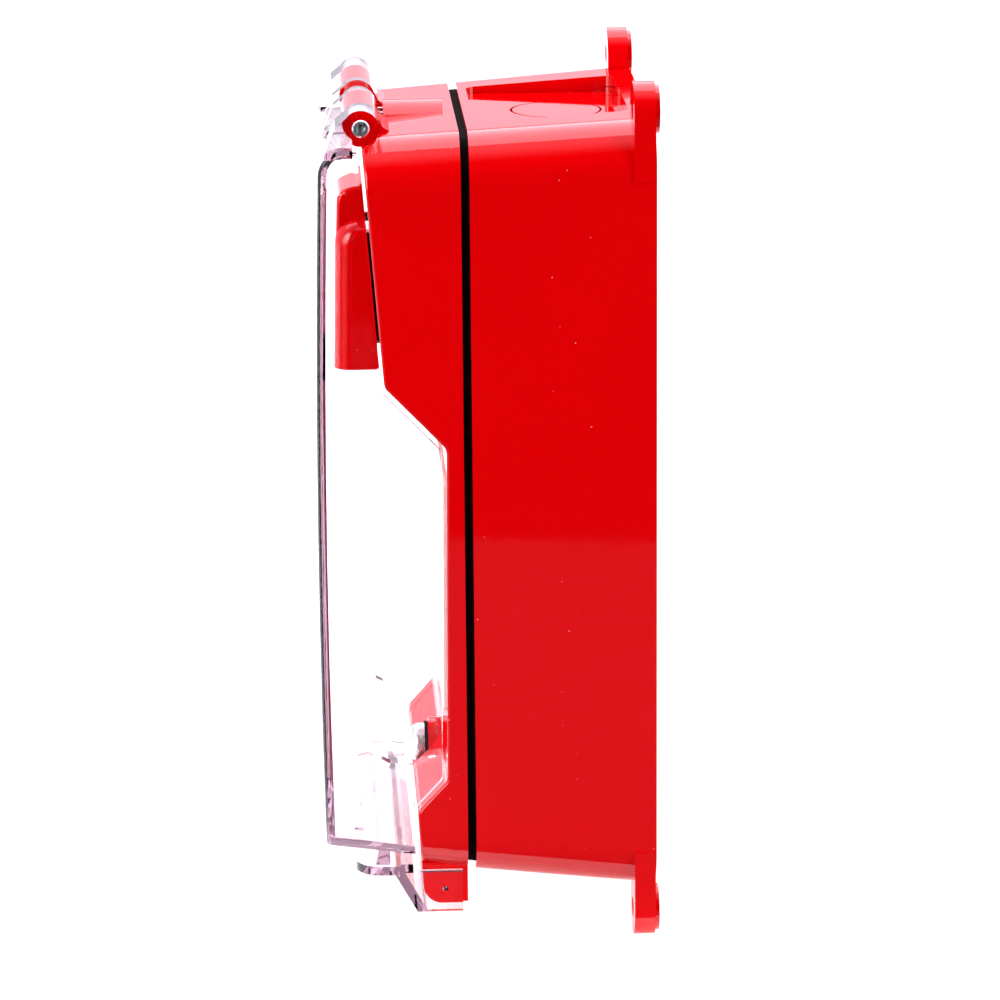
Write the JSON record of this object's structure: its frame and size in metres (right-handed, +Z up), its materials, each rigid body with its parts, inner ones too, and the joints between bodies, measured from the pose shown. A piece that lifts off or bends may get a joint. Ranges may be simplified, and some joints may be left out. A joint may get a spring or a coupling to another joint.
{
  "type": "manual call point",
  "caption": "Wall-mounted pull-down manual call point: sealed red housing, red front cover, sliding handle and a clear spring-hinged lid.",
  "frame": {"origin": "on the wall plane, at the centre of the four mounting holes", "axes": "+Z up, +Y into the wall, so the front with the handle and the clear lid faces -Y, and +X is to the right of a viewer facing the front's mirror side"},
  "size_m": [0.093, 0.0799, 0.207],
  "materials": {
    "red_plastic": "glossy signal red moulded plastic",
    "gasket_rubber": "soft black moulded rubber",
    "zinc_steel": "bright zinc-plated steel",
    "spring_steel": "drawn stainless wire",
    "brass": "turned brass",
    "white_plastic": "matt white plastic",
    "black_plastic": "black acetal",
    "clear_plastic": "clear polycarbonate, polished",
    "board_green": "green solder mask",
    "terminal_green": "green polyamide",
    "reed_glass": "glass tube",
    "chip_black": "black epoxy",
    "switch_blue": "blue plastic",
    "capacitor_sleeve": "shrunk sleeve with aluminium top",
    "led_lens": "tinted epoxy lens",
    "magnet_nickel": "nickel-plated magnet"
  },
  "bodies": {
    "housing": {"rear_housing": "red_plastic", "housing_gasket": "gasket_rubber", "front_cover": "red_plastic", "cover_screw": "zinc_steel", "screw_seal": "gasket_rubber", "threaded_insert": "brass", "instruction_plate": "white_plastic", "handle_guide": "black_plastic", "guide_screws": "zinc_steel", "hinge_pin": "zinc_steel", "lid_spring": "spring_steel", "circuit_board": "board_green", "board_screws": "zinc_steel", "terminal_blocks": "terminal_green", "terminal_screws": "zinc_steel", "reed_carrier": "black_plastic", "reed_switch": "reed_glass", "reed_leads": "spring_steel", "control_chip": "chip_black", "address_switch": "switch_blue", "address_levers": "white_plastic", "capacitors": "capacitor_sleeve", "resistors": "chip_black", "status_led": "led_lens", "light_pipe": "clear_plastic"},
    "lid": {"clear_cover": "clear_plastic"},
    "handle": {"pull_handle": "red_plastic", "handle_slider": "black_plastic", "slider_screws": "zinc_steel", "handle_magnet": "magnet_nickel", "detent_ball": "spring_steel", "detent_spring": "spring_steel"}
  },
  "joints": [
    {"name": "lid_hinge", "type": "hinge", "parent": "housing", "child": "lid", "pos_m": [0, -0.0682, 0.0933], "axis": [-1, 0, 0], "range_deg": [0, 110], "stiffness_Nm_per_rad": 0.02, "springref_deg": -20.05, "deforming": ["lid_spring"]},
    {"name": "handle_slide", "type": "slide", "parent": "housing", "child": "handle", "axis": [0, 0.0762, -0.9971], "range_m": [0, 0.01]}
  ]
}
